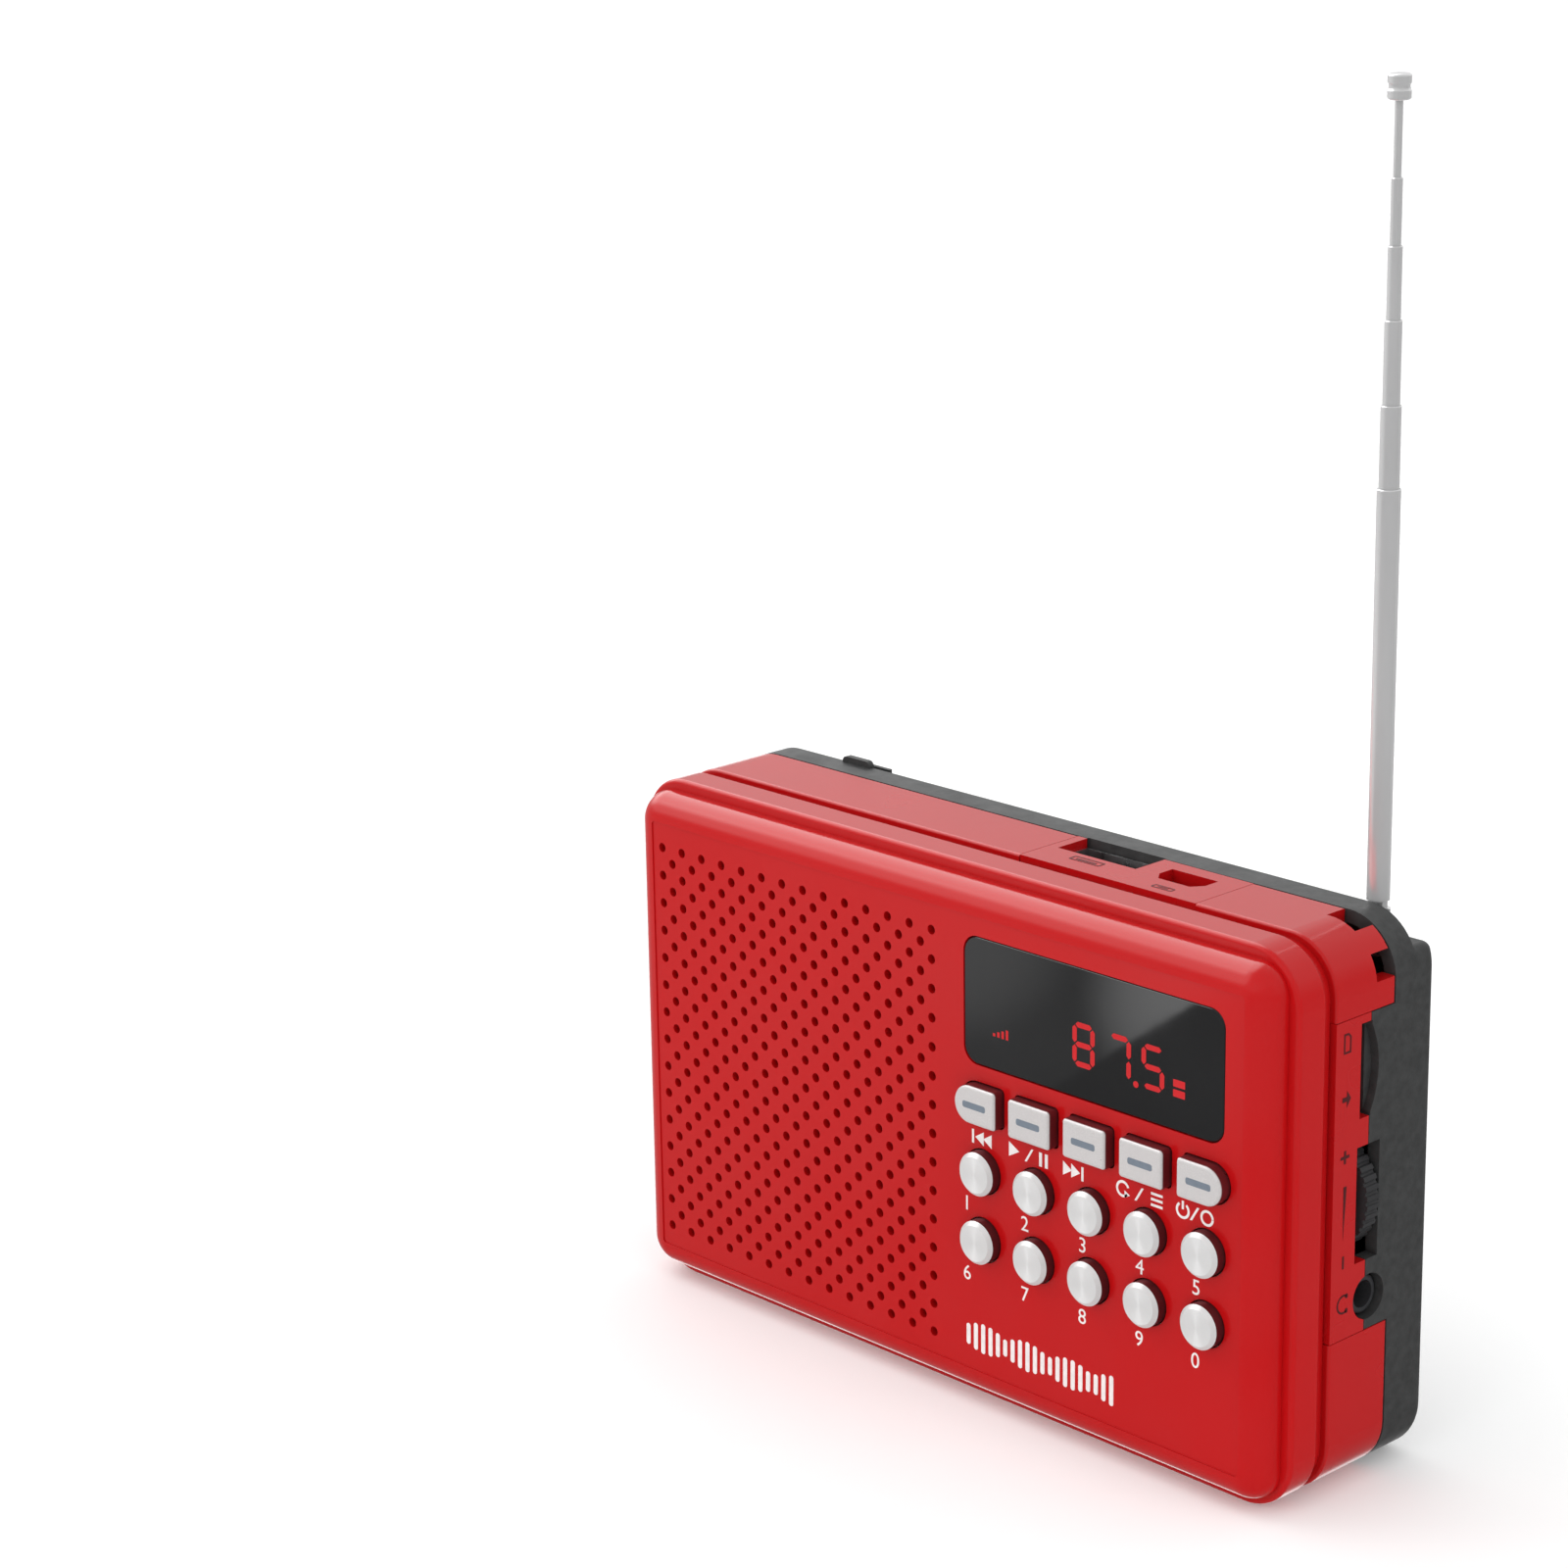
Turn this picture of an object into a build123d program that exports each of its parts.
from build123d import *

import os
from math import cos, radians, sin, sqrt

# Portable digital radio: red front cover and middle frame, dark back shell, speaker, key
# board, main board with side and top sockets, battery and folding telescopic antenna.
# Frame: X to the user's right, -Y out of the front, +Z up, origin under the middle of the body.

# ---- Case ----
WIDTH = 117.0
HEIGHT = 73.4
DEPTH = 30.0
CORNER_R = 7.5
FRONT = -DEPTH / 2
BACK = DEPTH / 2
RIM_WIDTH = 1.6
RIM_Y = FRONT + 3.7
ROLL_R = 3.7
CROWN_R = ROLL_R + 0.6
PANEL_STEP = 0.15
PANEL_INSET = RIM_WIDTH + ROLL_R
PANEL_BACK = FRONT + 2.0
COVER_BACK = FRONT + 8.6
MID_FRONT = FRONT + 10.6
PARTING = FRONT + 21.8
PARTING_GAP = 0.15
SHELL_FRONT = PARTING + PARTING_GAP
GROOVE_DEPTH = 1.0
COVER_WALL = 2.2
MID_WALL = 2.0
SHELL_WALL = 1.8
BACK_ROLL = 1.5
SEAM = 0.1

# ---- Front face layout ----
HOLE_R = 0.66
HOLE_PITCH = 4.0
HOLE_COLUMNS = 14
HOLE_ROWS = 15
HOLE_X0 = -51.2
HOLE_Z0 = 8.5
WINDOW_X = 28.4
WINDOW_Z = 56.8
WINDOW_W = 43.7
WINDOW_H = 17.4
WINDOW_R = 2.4
WINDOW_T = 1.0
WINDOW_LEDGE = 1.6
KEY_X0 = 9.9
KEY_PITCH = 9.43
KEY_COLUMNS = 5
KEY_Z = (43.1, 33.7, 24.2)
KEY_W = 7.2
KEY_H = 5.2
KEY_R = 2.95
KEY_PROUD = 1.7
KEY_CLEAR = 0.2
KEY_FLANGE = 0.75
KEY_FLANGE_Y = PANEL_BACK + 0.1
KEY_FLANGE_T = 0.8
KEY_STEM_Y = PANEL_BACK + 1.6

# ---- Speaker ----
SPEAKER_X = -25.2
SPEAKER_Z = 36.5
SPEAKER_R = 25.0
SPEAKER_Y = PANEL_BACK + 0.2
SPEAKER_SCREW_R = 27.4

# ---- Boards ----
KEY_BOARD_Y = -8.6
BOARD_T = 1.2
MAIN_BOARD_Y = -1.6
MAIN_BACK = MAIN_BOARD_Y + BOARD_T
KEY_BOARD_SCREWS = ((4.0, 66.0), (4.0, 16.5), (50.5, 16.5), (51.5, 66.6))
MAIN_BOARD_SCREWS = ((9.0, 6.8), (43.5, 68.0), (53.0, 16.0))
CHIPS = ((18.0, 40.0, 10.0, 10.0), (32.0, 41.0, 6.0, 8.0), (16.0, 22.0, 5.0, 8.0), (34.0, 26.0, 4.0, 5.0))
CAPACITORS = ((25.0, 28.0, 2.5), (25.0, 20.0, 2.5), (40.0, 33.0, 2.0), (10.0, 28.0, 2.0))

# ---- Ports ----
TOP_PLATE_X = (6.3, 36.1)
SIDE_PLATE_Z = (21.2, 63.2)
TONGUE_Y = FRONT + 17.3
USB_X = (7.9, 21.3)
USB_Y = (FRONT + 16.2, PARTING)
MINI_X = (24.7, 32.3)
MINI_Y = (FRONT + 15.3, FRONT + 19.4)
CARD_Z = (49.7, 62.0)
CARD_Y = (FRONT + 15.5, FRONT + 17.1)
WHEEL_Z = (30.7, 46.0)
WHEEL_Y = (FRONT + 15.2, FRONT + 19.6)
JACK_Y = FRONT + 18.1
JACK_Z = 25.6
JACK_HOLE_R = 1.8
JACK_BARREL_R = 2.6
JACK_RECESS_R = 3.0
JACK_SUNK = 0.9
FLANGE_Z = HEIGHT - MID_WALL - 1.0
FLANGE_X = WIDTH / 2 - MID_WALL - 1.0

# ---- Volume wheel ----
WHEEL_R = 8.0
WHEEL_T = 2.4
WHEEL_POS = (WIDTH / 2 + 0.7 - WHEEL_R, FRONT + 16.6, (WHEEL_Z[0] + WHEEL_Z[1]) / 2)
WHEEL_TEETH = 40
SHAFT_R = 1.5
RUNNING = 0.05

# ---- Case screws: x, z ----
CASE_SCREWS = ((-52.0, 9.0), (-52.0, 62.0), (52.0, 9.0), (38.0, 65.0))
BOSS_R = 3.0
SCREW_R = 0.95

# ---- Battery ----
DOOR_X = 1.0
DOOR_Z = (18.0, 56.0)
DOOR_Y = BACK - 1.5
DOOR_GAP = 0.15
POCKET_X = (-55.5, -1.0)
POCKET_Z = (19.8, 54.2)
POCKET_Y = 8.0
POCKET_WALL = 1.2
BATTERY_LENGTH = 53.0

# ---- Antenna ----
REBATE_Y = FRONT + 26.1
LEDGE_Z = 69.0
LEDGE_T = 1.6
CLIP_X = (-41.6, -36.3)
CLIP_Y = (REBATE_Y - 0.6, BACK - 0.05)
CLIP_TOP = HEIGHT + 0.9
CLIP_BACK_TOP = HEIGHT - 1.0
CLIP_SLOT = 1.45
ANTENNA_X = 50.8
ANTENNA_Y = BACK - 2.1
PIVOT_Z = 70.9
KNUCKLE_R = 1.6
STEM_R = 0.8
STEM_BOTTOM = 66.2
COLLAR_R = 1.3
TAB_T = 1.0
PIN_R = 0.5
STAGE_TOPS = (124.9, 135.0, 145.2, 154.0, 162.0, 171.0)
STAGE_RADII = (1.5, 1.3, 1.1, 0.9, 0.7, 0.5)
STAGE_LENGTH = 48.0
TIP_TOP = 174.1
TIP_R = 1.45
LEAD_R = 0.45


# ---- Helpers ----
def block(x, y, z):
    """Box between two limits on each axis."""
    size = (x[1] - x[0], y[1] - y[0], z[1] - z[0])
    middle = ((x[0] + x[1]) / 2, (y[0] + y[1]) / 2, (z[0] + z[1]) / 2)
    return Pos(*middle) * Box(*size)


def rod(radius, start, end):
    """Cylinder from one point to another."""
    path = Vector(*end) - Vector(*start)
    return Solid.make_cylinder(radius, path.length, Plane(origin=start, z_dir=path))


def cone(radius_a, radius_b, start, end):
    """Cone frustum from one point to another."""
    path = Vector(*end) - Vector(*start)
    return Solid.make_cone(radius_a, radius_b, path.length, Plane(origin=start, z_dir=path))


def front_extrude(sketch, y):
    """A sketch drawn in X and Z, extruded between two depths."""
    plane = Plane(origin=(0, y[1], 0), x_dir=(1, 0, 0), z_dir=(0, -1, 0))
    return extrude(plane * sketch, amount=y[1] - y[0])


def rounded(x, z, radius):
    """Rounded rectangle between limits in X and Z."""
    middle = Pos((x[0] + x[1]) / 2, (z[0] + z[1]) / 2)
    return middle * RectangleRounded(x[1] - x[0], z[1] - z[0], radius)


def case_slab(inset, y, radius=None):
    """Slice of the case outline, moved in by an inset."""
    radius = radius or max(CORNER_R - inset, 0.6)
    half = WIDTH / 2 - inset
    return front_extrude(rounded((-half, half), (inset, HEIGHT - inset), radius), y)


def edges_at(shape, y, slack=0.01):
    """Edges that lie in the plane at one depth."""
    return shape.edges().filter_by_position(Axis.Y, y - slack, y + slack)


def outer_edges_at(shape, y):
    """The outline edges at one depth, without the edges of holes."""
    flat = [f for f in shape.faces() if abs(f.center().Y - y) < 0.01 and abs(f.normal_at().Y) > 0.99]
    return max(flat, key=lambda f: f.outer_wire().length).outer_wire().edges()


def fuse(first, *others):
    """Union of several solids."""
    for other in others:
        first = first + other
    return first


def screw(x, z, head_y, head_r, head_t, tip_y, radius, side=1):
    """Pan-head screw along Y: its head sits at head_y and its tip at tip_y."""
    head = rod(head_r, (x, head_y, z), (x, head_y + side * head_t, z))
    rim = head.edges().filter_by(GeomType.CIRCLE).sort_by(Axis.Y)[-1 if side > 0 else 0]
    head = fillet(rim, head_t * 0.45)
    slot_y = sorted((head_y + side * head_t, head_y + side * head_t * 0.5))
    reach = head_r * 0.55
    cross = block((x - reach, x + reach), slot_y, (z - 0.2, z + 0.2))
    cross += block((x - 0.2, x + 0.2), slot_y, (z - reach, z + reach))
    point = cone(radius, radius * 0.35, (x, tip_y + side * 1.0, z), (x, tip_y, z))
    return head - cross + rod(radius, (x, head_y, z), (x, tip_y + side * 1.0, z)) + point


def wire_run(points, radius, bend):
    """Round lead along straight runs joined by tangent arcs."""
    path = FilletPolyline(*points, radius=bend)
    start = Plane(origin=path @ 0, z_dir=path % 0)
    return sweep(start * Circle(radius), path=path)


def key_centres():
    """Columns of key centres, left to right."""
    return [KEY_X0 + KEY_PITCH * i for i in range(KEY_COLUMNS)]


def speaker_corners():
    """The four screw places around the speaker."""
    reach = SPEAKER_SCREW_R * sqrt(0.5)
    return [(SPEAKER_X + a * reach, SPEAKER_Z + b * reach) for a in (-1, 1) for b in (-1, 1)]


# ---- Front cover ----
def grille_holes():
    """Two interleaved square grids of round perforations."""
    places = [
        (HOLE_X0 + HOLE_PITCH * i, HOLE_Z0 + HOLE_PITCH * j)
        for i in range(HOLE_COLUMNS)
        for j in range(HOLE_ROWS)
    ]
    places += [
        (HOLE_X0 + HOLE_PITCH * (i + 0.5), HOLE_Z0 + HOLE_PITCH * (j + 0.5))
        for i in range(HOLE_COLUMNS - 1)
        for j in range(HOLE_ROWS - 1)
    ]
    sketch = Sketch() + [Pos(x, z) * Circle(HOLE_R) for x, z in places]
    return front_extrude(sketch, (FRONT - 1, PANEL_BACK))


def soft_key_outline(column, grow):
    """Rectangular key outline; the end keys have one round end."""
    width, height = KEY_W + 2 * grow, KEY_H + 2 * grow
    outline = RectangleRounded(width, height, 0.5 + grow)
    if column in (0, KEY_COLUMNS - 1):
        side = -1 if column == 0 else 1
        end_r = height / 2
        outline = Pos(-side * end_r / 2, 0) * RectangleRounded(width - end_r, height, 0.5 + grow)
        outline += Pos(side * (width / 2 - end_r), 0) * Circle(end_r)
        outline += Pos(0, 0) * Rectangle(width - 2 * end_r, height)
    return Pos(key_centres()[column], KEY_Z[0]) * outline


def key_openings():
    """Openings in the panel for the fifteen keys."""
    sketch = Sketch()
    for column in range(KEY_COLUMNS):
        sketch += soft_key_outline(column, KEY_CLEAR)
        for row_z in KEY_Z[1:]:
            sketch += Pos(key_centres()[column], row_z) * Circle(KEY_R + KEY_CLEAR)
    return front_extrude(sketch, (FRONT - 1, PANEL_BACK + 1))


def window_outline(inset, radius):
    """Outline of the display window, moved in by an inset."""
    half_w, half_h = WINDOW_W / 2 - inset, WINDOW_H / 2 - inset
    return rounded((WINDOW_X - half_w, WINDOW_X + half_w), (WINDOW_Z - half_h, WINDOW_Z + half_h), radius)


def make_front_cover():
    skirt = case_slab(0, (RIM_Y, COVER_BACK))
    skirt = fillet(outer_edges_at(skirt, RIM_Y), 0.6)
    skirt = fillet(outer_edges_at(skirt, COVER_BACK), 0.25)
    crown_y = FRONT - PANEL_STEP
    crown = case_slab(RIM_WIDTH, (crown_y, RIM_Y + 1.0), CROWN_R)
    crown = fillet(edges_at(crown, crown_y), ROLL_R)
    cover = skirt + crown - case_slab(PANEL_INSET + 0.1, (crown_y - 1, FRONT), CROWN_R - ROLL_R - 0.1)
    cover -= case_slab(COVER_WALL, (RIM_Y + 1.8, COVER_BACK + 1))
    cover -= case_slab(PANEL_INSET + 0.3, (PANEL_BACK, RIM_Y + 1.9))
    for x, z in KEY_BOARD_SCREWS:
        cover += rod(2.0, (x, PANEL_BACK - 0.1, z), (x, KEY_BOARD_Y, z))
        cover -= rod(SCREW_R + RUNNING, (x, PANEL_BACK + 0.3, z), (x, KEY_BOARD_Y + 1, z))
    for x, z in speaker_corners():
        cover += rod(2.2, (x, PANEL_BACK - 0.1, z), (x, SPEAKER_Y + 1.2, z))
        cover -= rod(SCREW_R + RUNNING, (x, PANEL_BACK - 0.6, z), (x, SPEAKER_Y + 2, z))
    cover -= front_extrude(window_outline(0, WINDOW_R), (FRONT - 1, FRONT + WINDOW_T + 0.05))
    cover -= front_extrude(window_outline(WINDOW_LEDGE, 1.0), (FRONT, PANEL_BACK + 1))
    cover -= key_openings()
    return cover - grille_holes()


def make_display_window():
    window = front_extrude(window_outline(0.12, WINDOW_R), (FRONT + 0.05, FRONT + 0.05 + WINDOW_T))
    return chamfer(edges_at(window, FRONT + 0.05), 0.12)


def make_display_module():
    return front_extrude(window_outline(WINDOW_LEDGE + 0.25, 0.6), (FRONT + WINDOW_T + 0.15, KEY_BOARD_Y))


def make_grille_cloth():
    x = (HOLE_X0 - 1.5, HOLE_X0 + HOLE_PITCH * (HOLE_COLUMNS - 1) + 1.2)
    z = (HOLE_Z0 - 1.5, HOLE_Z0 + HOLE_PITCH * (HOLE_ROWS - 1) + 1.5)
    cloth = front_extrude(rounded(x, z, 1.2), (PANEL_BACK, SPEAKER_Y))
    for place in speaker_corners():
        cloth -= front_extrude(Pos(*place) * Circle(2.3), (PANEL_BACK - 1, SPEAKER_Y + 1))
    for place in KEY_BOARD_SCREWS[:2]:
        cloth -= front_extrude(Pos(*place) * Circle(2.1), (PANEL_BACK - 1, SPEAKER_Y + 1))
    return cloth


# ---- Keys ----
def make_soft_key(column):
    """Moulded rectangular key with a recessed bar on its face."""
    x, z = key_centres()[column], KEY_Z[0]
    top = FRONT - KEY_PROUD
    cap = front_extrude(soft_key_outline(column, 0), (top, KEY_FLANGE_Y))
    cap = fillet(edges_at(cap, top), 0.45)
    cap -= front_extrude(Pos(x, z) * SlotOverall(3.4, 0.8), (top - 1, top + 0.15))
    flange_y = (KEY_FLANGE_Y, KEY_FLANGE_Y + KEY_FLANGE_T)
    flange = front_extrude(soft_key_outline(column, KEY_FLANGE), flange_y)
    return cap + flange + rod(1.4, (x, KEY_FLANGE_Y, z), (x, KEY_STEM_Y, z))


def make_round_key(column, row_z):
    """Round key with a bevelled, slightly dished cap."""
    x = key_centres()[column]
    top = FRONT - KEY_PROUD - 0.1
    cap = rod(KEY_R, (x, top, row_z), (x, KEY_FLANGE_Y, row_z))
    cap = chamfer(edges_at(cap, top), 0.5)
    dish_r = 40.0
    cap -= Pos(x, top - dish_r + 0.07, row_z) * Sphere(dish_r)
    flange = rod(KEY_R + KEY_FLANGE, (x, KEY_FLANGE_Y, row_z), (x, KEY_FLANGE_Y + KEY_FLANGE_T, row_z))
    return cap + flange + rod(1.4, (x, KEY_FLANGE_Y, row_z), (x, KEY_STEM_Y, row_z))


def make_key_mat():
    """Rubber sheet with one dome under each key."""
    x = (key_centres()[0] - 3.6, key_centres()[-1] + 3.6)
    sheet_y = KEY_BOARD_Y - 0.6
    mat = front_extrude(rounded(x, (KEY_Z[-1] - 3.6, KEY_Z[0] + 3.2), 1.5), (sheet_y, KEY_BOARD_Y))
    for x in key_centres():
        for z in KEY_Z:
            mat += cone(2.7, 1.7, (x, sheet_y + 0.1, z), (x, KEY_STEM_Y + 0.65, z))
    return mat


# ---- Speaker ----
def make_speaker_basket():
    at = (SPEAKER_X, SPEAKER_Z)
    flange_back = SPEAKER_Y + 1.2
    neck_y = -1.2
    basket = front_extrude(Pos(*at) * (Circle(SPEAKER_R) - Circle(22.4)), (SPEAKER_Y, flange_back))
    shoulder_y = flange_back + 2.2
    basket += front_extrude(Pos(*at) * (Circle(23.4) - Circle(22.4)), (flange_back, shoulder_y))
    outside = cone(23.4, 13.0, (at[0], shoulder_y, at[1]), (at[0], neck_y, at[1]))
    inside = cone(22.4, 12.0, (at[0], shoulder_y - 0.01, at[1]), (at[0], neck_y - 0.9, at[1]))
    walls = outside - inside
    for k in range(4):
        angle = 90.0 * k
        window = Pos(at[0] + 19 * cos(radians(angle)), -5.4, at[1] + 19 * sin(radians(angle)))
        walls -= window * Rot(0, -angle, 0) * Box(14, 4.6, 14)
    basket += walls - rod(6.4, (at[0], neck_y - 2, at[1]), (at[0], neck_y + 1, at[1]))
    basket += front_extrude(Pos(*at) * (Circle(13.0) - Circle(6.4)), (neck_y - 0.9, neck_y))
    terminal = block((at[0] + 23.6, at[0] + 24.9), (flange_back - 0.1, -7.2), (at[1] - 3.5, at[1] + 3.5))
    return basket + terminal


def make_speaker_surround():
    at = (SPEAKER_X, SPEAKER_Z)
    axis = Axis((at[0], 0, at[1]), (0, 1, 0))
    roll_r = 1.9
    roll = Plane(origin=(at[0] + 20.4, SPEAKER_Y + 2.5, at[1]), x_dir=(1, 0, 0), z_dir=(0, 0, 1))
    arc = Circle(roll_r) - Circle(roll_r - 0.35) - Pos(0, 5) * Rectangle(10, 10)
    half = revolve(roll * arc, axis=axis)
    outer = front_extrude(Pos(*at) * (Circle(22.3) - Circle(21.95)), (SPEAKER_Y + 2.2, SPEAKER_Y + 2.5))
    return half + outer


def make_speaker_cone():
    at = (SPEAKER_X, SPEAKER_Z)
    rim_y = SPEAKER_Y + 2.6
    neck_y = rim_y + 5.2
    outside = cone(18.9, 6.6, (at[0], rim_y, at[1]), (at[0], neck_y, at[1]))
    inside = cone(18.5, 6.2, (at[0], rim_y - 0.01, at[1]), (at[0], neck_y - 0.01, at[1]))
    return outside - inside - rod(6.1, (at[0], rim_y - 1, at[1]), (at[0], neck_y + 1, at[1]))


def make_speaker_dust_cap():
    at = (SPEAKER_X, SPEAKER_Z)
    edge_y = SPEAKER_Y + 7.2
    ball_r = 8.0
    drop = sqrt(ball_r**2 - 6.0**2)
    centre = Pos(at[0], edge_y + drop, at[1])
    shell = centre * Sphere(ball_r) - centre * Sphere(ball_r - 0.3)
    keep = rod(6.0, (at[0], edge_y - ball_r, at[1]), (at[0], edge_y, at[1]))
    return shell & keep


def make_voice_coil():
    at = (SPEAKER_X, SPEAKER_Z)
    ring = Pos(*at) * (Circle(6.05) - Circle(5.7))
    return front_extrude(ring, (SPEAKER_Y + 7.3, 0.6))


def make_speaker_magnet():
    """Ferrite ring between two steel plates, with a centre pole."""
    at = (SPEAKER_X, SPEAKER_Z)
    ring = front_extrude(Pos(*at) * (Circle(15.0) - Circle(7.4)), (0.0, 3.6))
    front_plate = front_extrude(Pos(*at) * (Circle(13.0) - Circle(6.4)), (-1.2, 0.0))
    back_plate = front_extrude(Pos(*at) * Circle(13.0), (3.6, 4.8))
    pole = front_extrude(Pos(*at) * Circle(5.4), (-1.2, 3.6))
    return fuse(ring, front_plate, back_plate, pole)


def make_speaker_screws():
    """Screws with a washer face that laps the edge of the basket."""
    seat_y = SPEAKER_Y + 1.2
    washer = 0.3
    screws = []
    for x, z in speaker_corners():
        body = screw(x, z, seat_y + washer, 1.9, 1.2, PANEL_BACK - 0.4, SCREW_R)
        screws.append(body + rod(3.1, (x, seat_y, z), (x, seat_y + washer, z)))
    return screws


# ---- Boards ----
def make_key_board():
    y = (KEY_BOARD_Y, KEY_BOARD_Y + BOARD_T)
    board = front_extrude(rounded((1.8, 54.0), (13.6, 68.6), 2.5), y)
    for x, z in KEY_BOARD_SCREWS:
        board -= rod(1.2, (x, y[0] - 1, z), (x, y[1] + 1, z))
    return board


def make_key_board_screws():
    seat_y = KEY_BOARD_Y + BOARD_T
    return [screw(x, z, seat_y, 1.9, 1.2, PANEL_BACK + 0.6, SCREW_R) for x, z in KEY_BOARD_SCREWS]


def make_board_header():
    """Two rows of contacts in a moulded spacer between the boards."""
    body = block((18.0, 38.0), (KEY_BOARD_Y + BOARD_T, MAIN_BOARD_Y), (8.8 + 6.0, 8.8 + 9.0))
    return chamfer(body.edges().filter_by(Axis.Y), 0.4)


def make_main_board():
    y = (MAIN_BOARD_Y, MAIN_BACK)
    board = front_extrude(rounded((2.5, 55.1), (4.5, 70.2), 1.0), y)
    board -= block((47.0, 60.0), (y[0] - 1, y[1] + 1), (63.6, 75.0))
    for x, z in CASE_SCREWS[2:]:
        board -= rod(BOSS_R + 0.5, (x, y[0] - 1, z), (x, y[1] + 1, z))
    board -= block((52.0, 60.0), (y[0] - 1, y[1] + 1), (0.0, 12.5))
    board -= block((34.5, 41.5), (y[0] - 1, y[1] + 1), (65.0, 75.0))
    for x, z in MAIN_BOARD_SCREWS:
        board -= rod(1.2, (x, y[0] - 1, z), (x, y[1] + 1, z))
    return board


def make_main_board_screws():
    return [screw(x, z, MAIN_BACK, 1.9, 1.2, MAIN_BOARD_Y - 2.4, SCREW_R) for x, z in MAIN_BOARD_SCREWS]


def make_board_chips():
    """Radio, player and amplifier packages on the main board."""
    top = MAIN_BACK + 1.1
    chips = []
    for x, z, w, h in CHIPS:
        chip = block((x - w / 2, x + w / 2), (MAIN_BACK, top), (z - h / 2, z + h / 2))
        chips.append(chamfer(edges_at(chip, top), 0.2))
    return chips


def make_capacitors():
    """Upright electrolytic capacitors."""
    top = MAIN_BACK + 5.4
    cans = []
    for x, z, r in CAPACITORS:
        can = rod(r, (x, MAIN_BACK, z), (x, top, z))
        cans.append(fillet(edges_at(can, top), 0.4))
    return cans


# ---- Sockets ----
def make_usb_socket():
    """Steel shell of the full-size USB socket, open at the top."""
    x = (USB_X[0] + 0.1, USB_X[1] - 0.1)
    y = (USB_Y[0] + 0.1, USB_Y[1] - 0.1)
    z = (58.0, HEIGHT - 1.2)
    wall = 0.35
    inside = block((x[0] + wall, x[1] - wall), (y[0] + wall, y[1] - wall), (z[0] - 1, z[1] + 1))
    shell = block(x, y, z) - inside
    legs = [block(leg, (MAIN_BACK, y[0]), (60.0, 68.0)) for leg in ((x[0], x[0] + wall), (x[1] - wall, x[1]))]
    return fuse(shell, *legs)


def make_usb_tongue():
    """Plastic insulator: a base block with the contact tongue."""
    x = (USB_X[0] + 0.45, USB_X[1] - 0.45)
    y = (USB_Y[0] + 0.45, USB_Y[1] - 0.45)
    base = block(x, y, (58.2, 61.0))
    tongue = block((x[0] + 0.7, x[1] - 0.7), (y[0] + 0.5, y[0] + 2.3), (60.9, HEIGHT - 2.4))
    return base + chamfer(tongue.edges().group_by(Axis.Z)[-1], 0.3)


def mini_outline(grow):
    """D-shaped outline of the small socket, in X and Y."""
    x0, x1 = MINI_X[0] - grow, MINI_X[1] + grow
    y0, y1 = MINI_Y[0] - grow, MINI_Y[1] + grow
    taper, shoulder = 1.2, y0 + 1.6
    corners = ((x0 + taper, y0), (x1 - taper, y0), (x1, shoulder), (x1, y1), (x0, y1), (x0, shoulder))
    return make_face(Polyline(*corners, close=True))


def make_mini_socket():
    """Steel shell of the small charging socket."""
    bottom, top = 61.6, FLANGE_Z - 0.1
    shell = extrude(Plane.XY.offset(bottom) * mini_outline(-0.05), amount=top - bottom)
    shell -= extrude(Plane.XY.offset(bottom + 1.2) * mini_outline(-0.45), amount=top - bottom)
    tongue_y = (MINI_Y[0] + 1.5, MINI_Y[0] + 2.3)
    tongue = block((MINI_X[0] + 2.2, MINI_X[1] - 2.2), tongue_y, (bottom + 1.0, top - 1.0))
    legs = [
        block((x - 0.4, x + 0.4), (MAIN_BACK, MINI_Y[0] + 0.5), (bottom, bottom + 3.0))
        for x in (MINI_X[0] + 2.0, MINI_X[1] - 2.0)
    ]
    return fuse(shell, tongue, *legs)


def make_card_socket():
    """Low metal box that takes a small memory card from the side."""
    x = (41.0, FLANGE_X - 0.2)
    body = block(x, (MAIN_BACK, CARD_Y[1] - 0.1), (CARD_Z[0] - 0.9, CARD_Z[1] + 0.9))
    slot_y = (CARD_Y[0] + 0.1, CARD_Y[1] - 0.4)
    return body - block((x[0] + 1.5, x[1] + 1), slot_y, (CARD_Z[0] + 0.5, CARD_Z[1] - 0.5))


def make_headphone_socket():
    """Jack body with a round barrel and a plug bore."""
    centre = (JACK_Y, JACK_Z)
    body = block((43.5, FLANGE_X - 0.2), (MAIN_BACK, JACK_Y + 2.3), (JACK_Z - 3.0, JACK_Z + 3.0))
    barrel = rod(JACK_BARREL_R, (FLANGE_X - 0.3, *centre), (WIDTH / 2 - JACK_SUNK, *centre))
    barrel = fillet(barrel.edges().filter_by(GeomType.CIRCLE).sort_by(Axis.X)[-1], 0.4)
    return body + barrel - rod(JACK_HOLE_R, (44.5, *centre), (WIDTH / 2, *centre))


def make_volume_pot():
    """Body of the volume control under the wheel."""
    x, y, z = WHEEL_POS
    body = front_extrude(Pos(x - 1.0, z) * RectangleRounded(9.0, 10.0, 1.0), (MAIN_BACK, y - 0.35))
    return body - rod(SHAFT_R + RUNNING, (x, MAIN_BACK + 0.3, z), (x, y, z))


def make_volume_shaft():
    x, y, z = WHEEL_POS
    shaft = rod(SHAFT_R, (x, MAIN_BACK + 0.4, z), (x, y + WHEEL_T, z))
    return shaft - rod(0.65, (x, y - 0.2, z), (x, y + WHEEL_T + 1, z))


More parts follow.
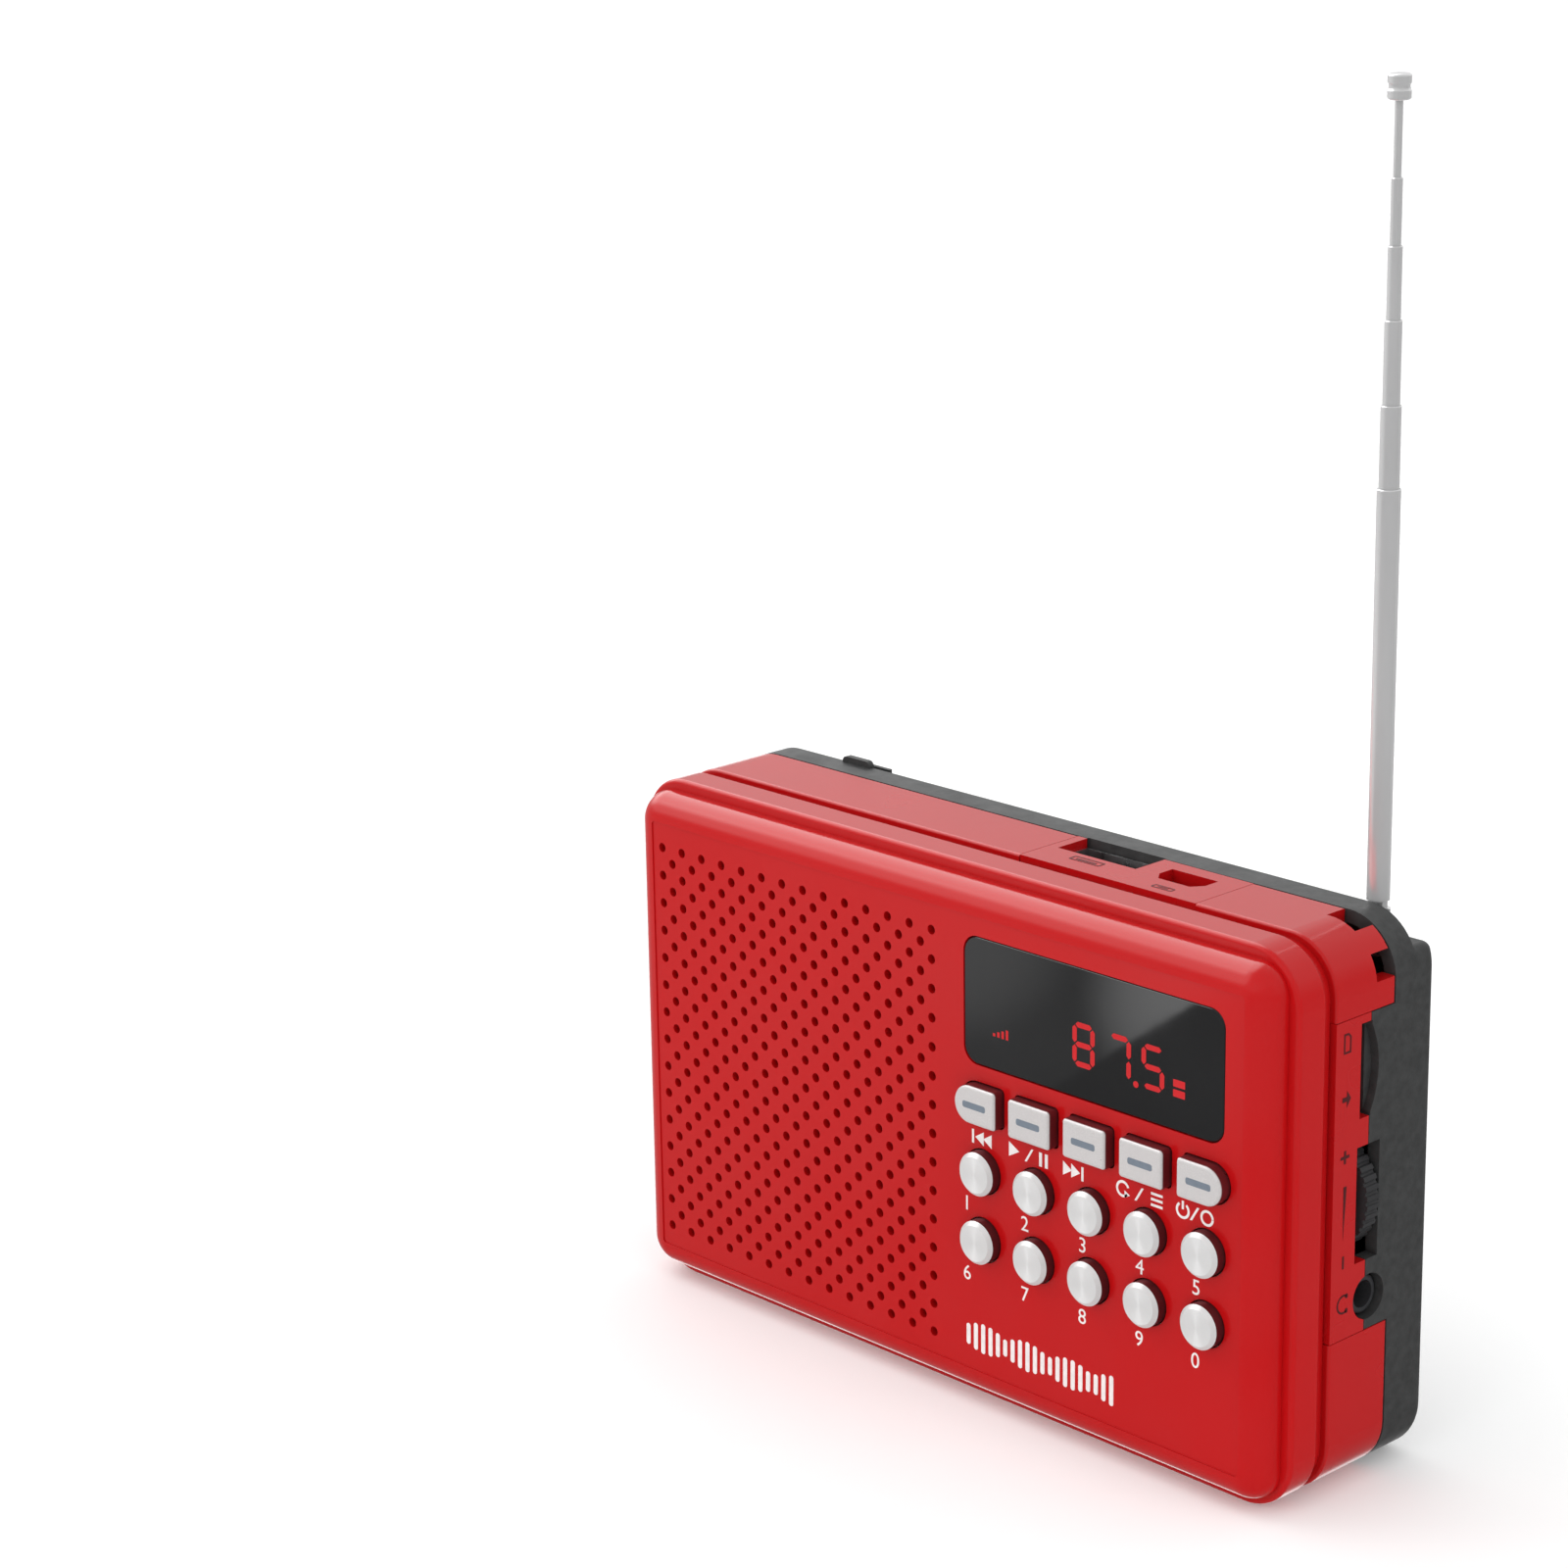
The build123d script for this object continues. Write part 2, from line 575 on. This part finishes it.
def make_volume_wheel():
    """Thumb wheel with a knurled rim, a recessed face and a screwed hub."""
    x, y, z = WHEEL_POS
    wheel = rod(WHEEL_R, (x, y, z), (x, y + WHEEL_T, z))
    notch_r = 0.32
    notches = Sketch()
    for k in range(WHEEL_TEETH):
        angle = radians(360.0 * k / WHEEL_TEETH)
        notches += Pos(x + WHEEL_R * cos(angle), z + WHEEL_R * sin(angle)) * Circle(notch_r)
    wheel -= front_extrude(notches, (y - 1, y + WHEEL_T + 1))
    wheel -= front_extrude(Pos(x, z) * (Circle(6.4) - Circle(3.2)), (y + WHEEL_T - 0.7, y + WHEEL_T + 1))
    return wheel - rod(SHAFT_R, (x, y - 1, z), (x, y + WHEEL_T + 1, z))


def make_volume_screw():
    x, y, z = WHEEL_POS
    return screw(x, z, y + WHEEL_T, 2.2, 0.8, y, 0.6)


# ---- Middle frame ----
def lanyard_notches():
    """Two openings beside the corner that leave a bar for a strap."""
    notch_y = (PARTING - 3.5, PARTING + 1)
    top = block((50.5, 54.9), notch_y, (HEIGHT - MID_WALL - 1.5, HEIGHT + 1))
    side = block((WIDTH / 2 - MID_WALL - 1.5, WIDTH / 2 + 1), notch_y, (66.6, 69.9))
    return top + side


def make_mid_frame():
    frame = case_slab(0, (MID_FRONT, PARTING))
    frame = fillet(outer_edges_at(frame, MID_FRONT), 0.4)
    frame = fillet(outer_edges_at(frame, PARTING), 0.2)
    frame += case_slab(GROOVE_DEPTH, (COVER_BACK, MID_FRONT))
    frame += case_slab(COVER_WALL + SEAM, (COVER_BACK - 2.6, COVER_BACK))
    frame -= case_slab(MID_WALL + 1.5, (COVER_BACK - 4, MID_FRONT + 1))
    frame -= case_slab(MID_WALL, (MID_FRONT, PARTING + 1))
    corner = case_slab(MID_WALL - 0.1, (PARTING - 4.6, PARTING - 3.5))
    frame += corner & block((47.5, 60.0), (0, PARTING), (63.8, 75.0))
    for x, z in CASE_SCREWS:
        frame += frame_boss(x, z, (MID_FRONT + 0.2, PARTING))
        frame -= rod(SCREW_R + RUNNING, (x, MID_FRONT + 1.5, z), (x, PARTING + 1, z))
    for x, z in MAIN_BOARD_SCREWS:
        frame += board_rest(x, z)
        frame -= rod(SCREW_R + RUNNING, (x, MID_FRONT + 0.2, z), (x, MAIN_BOARD_Y + 1, z))
    frame -= block(TOP_PLATE_X, (MID_FRONT, PARTING + 1), (HEIGHT - MID_WALL - 0.5, HEIGHT + 1))
    frame -= block((WIDTH / 2 - MID_WALL - 0.5, WIDTH / 2 + 1), (MID_FRONT, PARTING + 1), SIDE_PLATE_Z)
    return frame - lanyard_notches()


def nearest_wall(x, z):
    """The rib that ties a boss to the closest case wall, as limits in X and Z."""
    inner = WIDTH / 2 - MID_WALL + 0.2
    if abs(x) > 50.0:
        side = 1 if x > 0 else -1
        return tuple(sorted((x, side * inner))), (z - 1.5, z + 1.5)
    if z > HEIGHT / 2:
        return (x - 1.5, x + 1.5), (z, HEIGHT - MID_WALL + 0.2)
    return (x - 1.5, x + 1.5), (MID_WALL - 0.2, z)


def frame_boss(x, z, y):
    """Screw boss tied to the nearest wall by a rib."""
    rib_x, rib_z = nearest_wall(x, z)
    return rod(BOSS_R, (x, y[0], z), (x, y[1], z)) + block(rib_x, (y[0], y[1] - 0.5), rib_z)


def board_rest(x, z):
    """Short post that the main board is screwed to."""
    rib_x, rib_z = nearest_wall(x, z)
    y = (MID_FRONT - 0.5, MAIN_BOARD_Y)
    return rod(2.2, (x, y[0], z), (x, y[1], z)) + block(rib_x, y, rib_z)


def make_top_plate():
    """Insert around the two top sockets."""
    x = (TOP_PLATE_X[0] + SEAM, TOP_PLATE_X[1] - SEAM)
    plate = block(x, (MID_FRONT + SEAM, PARTING), (HEIGHT - MID_WALL, HEIGHT))
    flange = block((x[0] - 1.2, x[1] + 0.3), (MID_FRONT + 1.2, PARTING - 0.3), (FLANGE_Z, HEIGHT - MID_WALL))
    plate += flange
    plate -= block(USB_X, (USB_Y[0], USB_Y[1] + 1), (FLANGE_Z - 1, HEIGHT + 1))
    return plate - extrude(Plane.XY.offset(FLANGE_Z - 1) * mini_outline(0), amount=6)


def side_cuts():
    """Card slot, wheel slot and jack recess through the right wall."""
    x = (FLANGE_X - 1, WIDTH / 2 + 1)
    cuts = block(x, (CARD_Y[0], TONGUE_Y + 0.3), CARD_Z)
    cuts += block(x, WHEEL_Y, WHEEL_Z)
    return cuts + rod(JACK_RECESS_R, (x[0], JACK_Y, JACK_Z), (x[1], JACK_Y, JACK_Z))


def make_side_plate():
    """Insert around the side sockets."""
    z = (SIDE_PLATE_Z[0] + SEAM, SIDE_PLATE_Z[1] - SEAM)
    plate = block((WIDTH / 2 - MID_WALL, WIDTH / 2), (MID_FRONT + SEAM, TONGUE_Y), z)
    plate += block((FLANGE_X, WIDTH / 2 - MID_WALL), (MID_FRONT + 1.2, TONGUE_Y), (z[0] - 1.2, z[1] + 0.4))
    return plate - side_cuts()


# ---- Back shell ----
def back_envelope(front_y):
    """Outer form of the back shell with its rolled back edge."""
    body = case_slab(0, (front_y, BACK))
    return fillet(edges_at(body, BACK), BACK_ROLL)


def make_back_shell():
    shell = back_envelope(SHELL_FRONT)
    inner_y = BACK - SHELL_WALL
    deck_y = REBATE_Y - 1.5
    shell -= case_slab(SHELL_WALL, (SHELL_FRONT - 1, deck_y))
    under_ledge = block((-60, 60), (0, 20), (0, LEDGE_Z - LEDGE_T))
    shell -= case_slab(SHELL_WALL, (deck_y - 0.5, inner_y)) & under_ledge
    shell -= block((-60, 60), (REBATE_Y, BACK + 1), (LEDGE_Z, HEIGHT + 1))
    ledge_edges = edges_at(shell, BACK).filter_by(Axis.X)
    shell = fillet(ledge_edges.filter_by_position(Axis.Z, LEDGE_Z - 0.01, LEDGE_Z + 0.01), 1.2)
    shell += antenna_clip()
    shell += battery_bay()
    shell -= door_recess()
    for x, z in CASE_SCREWS:
        shell += rod(BOSS_R, (x, PARTING, z), (x, inner_y + 0.5, z))
        shell -= rod(SCREW_R + 0.2, (x, PARTING - 1, z), (x, BACK, z))
        shell -= rod(2.3, (x, PARTING + 3.0, z), (x, BACK + 1, z))
    underside = LEDGE_Z - LEDGE_T
    stem = (ANTENNA_X, ANTENNA_Y)
    shell -= rod(STEM_R + RUNNING, (*stem, underside - 1), (*stem, LEDGE_Z + 1))
    shell -= rod(COLLAR_R + 0.2, (*stem, STEM_BOTTOM - 1.5), (*stem, underside))
    shell -= block((USB_X[0], USB_X[1]), (0, SHELL_FRONT + 0.2), (HEIGHT - SHELL_WALL - 1, HEIGHT + 1))
    return fuse(shell, make_tongue())


def make_tongue():
    """Part of the right wall that reaches forward to the side sockets."""
    z = (SIDE_PLATE_Z[0] + 0.15, SIDE_PLATE_Z[1] - 0.15)
    tongue = block((WIDTH / 2 - SHELL_WALL, WIDTH / 2), (TONGUE_Y + 0.12, SHELL_FRONT + 0.5), z)
    sagitta = 1.7
    half = (CARD_Z[1] - CARD_Z[0]) / 2
    scoop_r = (half**2 + sagitta**2) / (2 * sagitta)
    centre_y = TONGUE_Y + sagitta - scoop_r
    centre_z = (CARD_Z[0] + CARD_Z[1]) / 2
    scoop = rod(scoop_r, (WIDTH / 2 - 1.2, centre_y, centre_z), (WIDTH / 2 + 1, centre_y, centre_z))
    return tongue - scoop - side_cuts()


def antenna_clip():
    """Two prongs that guide the folded antenna along the rebate."""
    clip = block(CLIP_X, CLIP_Y, (LEDGE_Z - 1.2, CLIP_TOP))
    clip = fillet(clip.edges().group_by(Axis.Z)[-1].filter_by(Axis.Y), 0.8)
    slot_y = (ANTENNA_Y - CLIP_SLOT, ANTENNA_Y + CLIP_SLOT)
    clip -= block((-60, 0), (slot_y[1], BACK), (CLIP_BACK_TOP, CLIP_TOP + 1))
    return clip - block((-60, 0), slot_y, (LEDGE_Z, CLIP_TOP + 1))


def battery_bay():
    """Walls around the battery and the thicker seat under its door."""
    seat = block((-57.2, DOOR_X + 2.0), (DOOR_Y - 1.5, BACK - 1.0), (DOOR_Z[0] - 2.4, DOOR_Z[1] + 2.4))
    x = (POCKET_X[0] - POCKET_WALL, POCKET_X[1] + POCKET_WALL)
    z = (POCKET_Z[0] - POCKET_WALL, POCKET_Z[1] + POCKET_WALL)
    tub = block(x, (POCKET_Y - 1.0, DOOR_Y), z)
    return seat + tub


def door_recess():
    """Space for the sliding door, its two rails, and the battery pocket."""
    recess = block((-60.0, DOOR_X), (DOOR_Y - DOOR_GAP, BACK + 1), DOOR_Z)
    rails = block((-60.0, DOOR_X), (DOOR_Y - DOOR_GAP, DOOR_Y + 0.85), (DOOR_Z[0] - 1.1, DOOR_Z[1] + 1.1))
    pocket = block(POCKET_X, (POCKET_Y, BACK + 1), POCKET_Z)
    slot_x = (POCKET_X[1] - 0.5, POCKET_X[1] + 2)
    slots = [block(slot_x, (9.6, 11.2), (z - 1.1, z + 1.1)) for z in contact_heights()]
    return fuse(recess, rails, pocket, *slots)


def contact_heights():
    """Heights of the three battery contacts."""
    middle = (POCKET_Z[0] + POCKET_Z[1]) / 2
    return [middle - 4.0, middle, middle + 4.0]


def make_battery_door():
    gap = DOOR_GAP
    z = (DOOR_Z[0] + gap, DOOR_Z[1] - gap)
    slab = back_envelope(SHELL_FRONT) & block((-60.0, DOOR_X - gap), (DOOR_Y, BACK + 1), z)
    rails = block((-57.6, DOOR_X - gap), (DOOR_Y, DOOR_Y + 0.7), (z[0] - 1.0, z[1] + 1.0))
    door = slab + rails
    groove = Rot(0, 0, 90) * SlotOverall(14.0, 0.9)
    for k in range(6):
        place = Pos(-50.0 + 2.0 * k, (z[0] + z[1]) / 2)
        door -= front_extrude(place * groove, (BACK - 0.4, BACK + 1))
    return door


def make_battery():
    """Flat rechargeable pack."""
    start = POCKET_X[0] + 0.3
    z = (POCKET_Z[0] + 0.2, POCKET_Z[1] - 0.2)
    pack = block((start, start + BATTERY_LENGTH), (POCKET_Y + 0.1, DOOR_Y - 0.3), z)
    return fillet(pack.edges().filter_by(Axis.X), 1.2)


def make_battery_contacts():
    """Three bent blades that press on the pack's end."""
    blades = []
    for z in contact_heights():
        stem = block((POCKET_X[1] - 0.6, POCKET_X[1] + 1.6), (10.2, 10.6), (z - 0.8, z + 0.8))
        nose = rod(0.5, (POCKET_X[1] - 0.7, 10.4, z - 0.8), (POCKET_X[1] - 0.7, 10.4, z + 0.8))
        blades.append(stem + nose)
    return blades


def make_contact_block():
    """Moulded carrier for the blades, outside the battery bay."""
    x = (POCKET_X[1] + POCKET_WALL, POCKET_X[1] + POCKET_WALL + 5.0)
    z = (contact_heights()[0] - 2.5, contact_heights()[-1] + 2.5)
    carrier = block(x, (8.6, 12.0), z)
    for height in contact_heights():
        carrier -= block((x[0] - 1, POCKET_X[1] + 1.6), (10.2, 10.6), (height - 0.8, height + 0.8))
    return carrier


# ---- Antenna ----
def make_antenna_knuckle():
    """Turning post with a slot for the folding tab and a stem through the ledge."""
    x, y = ANTENNA_X, ANTENNA_Y
    bottom = LEDGE_Z + 0.1
    post = rod(KNUCKLE_R, (x, y, bottom), (x, y, PIVOT_Z + 1.2))
    post += rod(STEM_R, (x, y, STEM_BOTTOM), (x, y, bottom))
    half = TAB_T / 2 + RUNNING
    slot = block((x - 3, x + 3), (y - half, y + half), (PIVOT_Z - 1.3, PIVOT_Z + 3))
    return post - slot - rod(PIN_R, (x, y - 3, PIVOT_Z), (x, y + 3, PIVOT_Z))


def make_antenna_pin():
    x, y = ANTENNA_X, ANTENNA_Y
    return rod(PIN_R, (x, y - KNUCKLE_R + 0.1, PIVOT_Z), (x, y + KNUCKLE_R - 0.1, PIVOT_Z))


def make_antenna_collar():
    """Flanged collar riveted on the stem under the ledge."""
    x, y = ANTENNA_X, ANTENNA_Y
    bottom, top = STEM_BOTTOM, LEDGE_Z - LEDGE_T - 0.5
    return rod(COLLAR_R, (x, y, bottom), (x, y, top)) - rod(STEM_R, (x, y, bottom - 1), (x, y, top + 1))


def make_antenna_contact():
    """Brass strip that joins the collar to its lead."""
    top = LEDGE_Z - LEDGE_T
    strip = block((46.0, 54.6), (ANTENNA_Y - 2.0, BACK - SHELL_WALL), (top - 0.4, top))
    return strip - rod(STEM_R + RUNNING, (ANTENNA_X, ANTENNA_Y, top - 1), (ANTENNA_X, ANTENNA_Y, top + 1))


def make_antenna_base():
    """Largest tube with the flat folding tab on its lower end."""
    x, y = ANTENNA_X, ANTENNA_Y
    tube_bottom = PIVOT_Z + 2.4
    tube = rod(STAGE_RADII[0], (x, y, tube_bottom), (x, y, STAGE_TOPS[0]))
    tube = chamfer(tube.edges().filter_by(GeomType.CIRCLE).group_by(Axis.Z)[-1], 0.1)
    tube -= rod(STAGE_RADII[1] + RUNNING, (x, y, tube_bottom + 1.6), (x, y, STAGE_TOPS[0] + 1))
    half = TAB_T / 2
    tab = block((x - 1.1, x + 1.1), (y - half, y + half), (PIVOT_Z, tube_bottom + 0.5))
    tab += rod(1.1, (x, y - half, PIVOT_Z), (x, y + half, PIVOT_Z))
    return tube + tab - rod(PIN_R + RUNNING, (x, y - 2, PIVOT_Z), (x, y + 2, PIVOT_Z))


def make_antenna_stage(index):
    """One sliding tube; the last one is a solid rod."""
    x, y = ANTENNA_X, ANTENNA_Y
    top = STAGE_TOPS[index]
    bottom = top - STAGE_LENGTH
    stage = rod(STAGE_RADII[index], (x, y, bottom), (x, y, top))
    if index + 1 < len(STAGE_RADII):
        stage = chamfer(stage.edges().filter_by(GeomType.CIRCLE).group_by(Axis.Z)[-1], 0.08)
        stage -= rod(STAGE_RADII[index + 1] + RUNNING, (x, y, bottom - 1), (x, y, top + 1))
    return stage


def make_antenna_tip():
    """Pull cap with a waist."""
    x, y = ANTENNA_X, ANTENNA_Y
    bottom = STAGE_TOPS[-1]
    cap = rod(TIP_R, (x, y, bottom), (x, y, TIP_TOP))
    cap = fillet(cap.edges().filter_by(GeomType.CIRCLE), 0.35)
    middle = (bottom + TIP_TOP) / 2
    waist = Pos(x, y, middle) * Torus(TIP_R + 0.55, 0.7)
    return cap - waist


# ---- Leads and fasteners ----
def make_case_screws():
    return [screw(x, z, PARTING + 3.0, 2.0, 1.5, MID_FRONT + 3.0, SCREW_R) for x, z in CASE_SCREWS]


def make_speaker_leads():
    """Two insulated leads from the speaker tags to the main board."""
    tag = (SPEAKER_X + 24.2, -7.2)
    leads = []
    for z in (SPEAKER_Z - 2.0, SPEAKER_Z + 2.0):
        points = ((*tag, z), (tag[0], 1.6, z), (6.0, 1.6, z), (6.0, MAIN_BACK, z))
        leads.append(wire_run(points, LEAD_R, 0.9))
    return leads


def make_battery_leads():
    """Two insulated leads from the contact carrier to the main board."""
    leads = []
    for side in (-1, 1):
        z = contact_heights()[1] + side * 4.0
        end_z = z + side * 5.0
        points = ((4.0, 8.6, z), (4.0, 4.5, z), (7.0, 3.0, end_z), (7.0, MAIN_BACK, end_z))
        leads.append(wire_run(points, LEAD_R, 0.6))
    return leads


def make_antenna_lead():
    """Insulated lead from the antenna strip to the main board."""
    top = LEDGE_Z - LEDGE_T - 0.4
    x, y, end_x, end_z = 47.0, 12.0, 38.0, 46.0
    points = ((x, y, top), (x, y, 59.0), (40.0, 8.0, 52.0), (end_x, 4.0, end_z), (end_x, MAIN_BACK, end_z))
    return wire_run(points, LEAD_R, 2.0)


# ---- Assembly ----
def make_parts():
    parts = {
        "front_cover": make_front_cover(),
        "display_window": make_display_window(),
        "display_module": make_display_module(),
        "grille_cloth": make_grille_cloth(),
        "key_mat": make_key_mat(),
        "speaker_basket": make_speaker_basket(),
        "speaker_surround": make_speaker_surround(),
        "speaker_cone": [make_speaker_cone(), make_voice_coil()],
        "speaker_dust_cap": make_speaker_dust_cap(),
        "speaker_magnet": make_speaker_magnet(),
        "speaker_screws": make_speaker_screws(),
        "key_board": make_key_board(),
        "board_header": make_board_header(),
        "main_board": make_main_board(),
        "board_screws": [*make_key_board_screws(), *make_main_board_screws()],
        "board_components": [*make_board_chips(), *make_capacitors()],
        "usb_socket": make_usb_socket(),
        "usb_tongue": make_usb_tongue(),
        "mini_usb_socket": make_mini_socket(),
        "card_socket": make_card_socket(),
        "headphone_socket": make_headphone_socket(),
        "volume_pot": make_volume_pot(),
        "volume_shaft": make_volume_shaft(),
        "volume_wheel": make_volume_wheel(),
        "volume_screw": make_volume_screw(),
        "mid_frame": make_mid_frame(),
        "top_port_plate": make_top_plate(),
        "side_port_plate": make_side_plate(),
        "back_shell": make_back_shell(),
        "battery_door": make_battery_door(),
        "battery": make_battery(),
        "battery_contacts": make_battery_contacts(),
        "contact_block": make_contact_block(),
        "antenna_knuckle": make_antenna_knuckle(),
        "antenna_rivets": [make_antenna_pin(), make_antenna_collar()],
        "antenna_contact": make_antenna_contact(),
        "antenna_base_tube": make_antenna_base(),
        "antenna_tip": make_antenna_tip(),
        "case_screws": make_case_screws(),
        "internal_leads": [*make_speaker_leads(), *make_battery_leads(), make_antenna_lead()],
    }
    for index in range(1, len(STAGE_RADII)):
        parts[f"antenna_stage_{index + 1}"] = make_antenna_stage(index)
    soft_names = ("previous", "play", "next", "mode", "power")
    for column, name in enumerate(soft_names):
        parts[f"key_{name}"] = make_soft_key(column)
    for column in range(KEY_COLUMNS):
        parts[f"key_{column + 1}"] = make_round_key(column, KEY_Z[1])
        parts[f"key_{(column + 6) % 10}"] = make_round_key(column, KEY_Z[2])
    return parts


def main():
    os.makedirs("parts", exist_ok=True)
    for name, shape in make_parts().items():
        body = Compound(children=shape) if isinstance(shape, list) else shape
        export_step(body, f"parts/{name}.step")


main()
